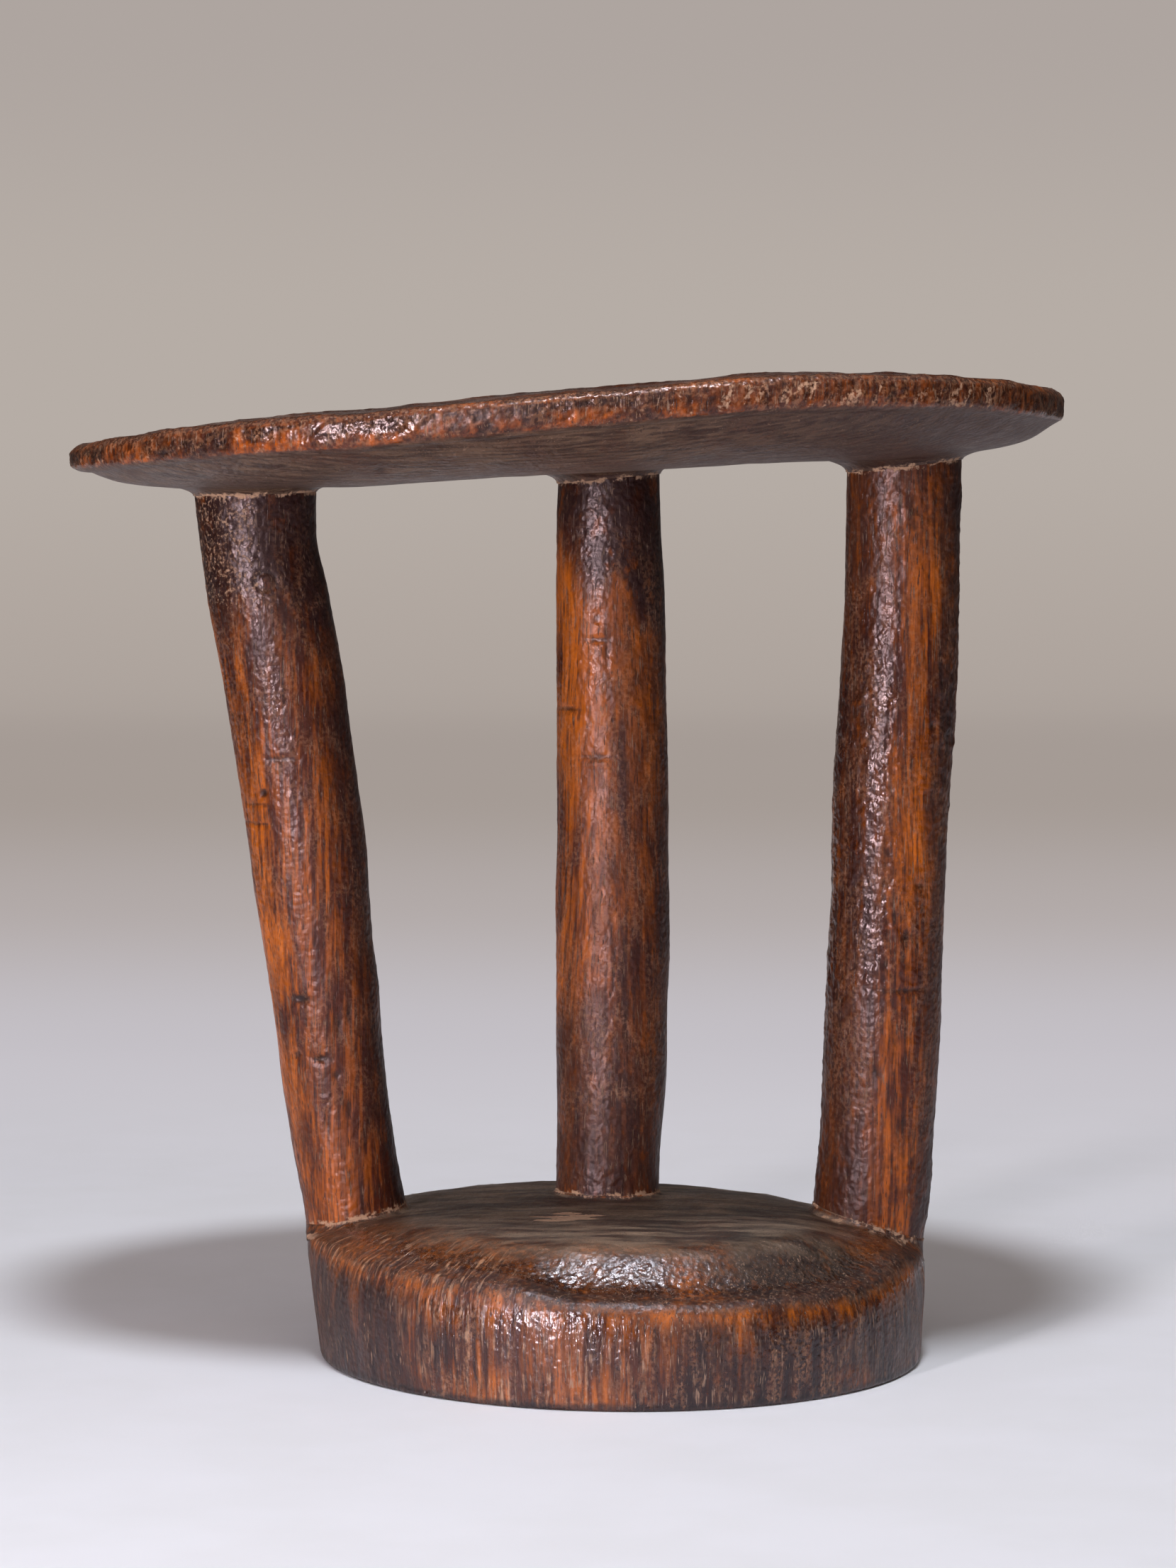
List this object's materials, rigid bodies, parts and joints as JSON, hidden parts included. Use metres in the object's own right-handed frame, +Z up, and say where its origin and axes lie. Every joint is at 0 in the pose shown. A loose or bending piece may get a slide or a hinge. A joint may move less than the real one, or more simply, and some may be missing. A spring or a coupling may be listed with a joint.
{
  "type": "headrest stool",
  "caption": "Carved wooden headrest stool: a sloping oval seat, hollowed on top and full underneath, on round leaning posts over a thick domed round base.",
  "frame": {"origin": "middle of the flat underside of the base", "axes": "+Z up, +X along the long side of the seat towards its higher end, +Y towards the rear post"},
  "size_m": [0.23, 0.176, 0.2296],
  "materials": {
    "seat_wood": "worn dark hardwood, waxed by handling",
    "post_wood": "worn red-brown hardwood, glossy where handled",
    "base_wood": "worn dark hardwood with dust in the grain"
  },
  "bodies": {
    "root": {"seat": "seat_wood", "left_post": "post_wood", "rear_post": "post_wood", "right_post": "post_wood", "base": "base_wood"}
  },
  "joints": []
}
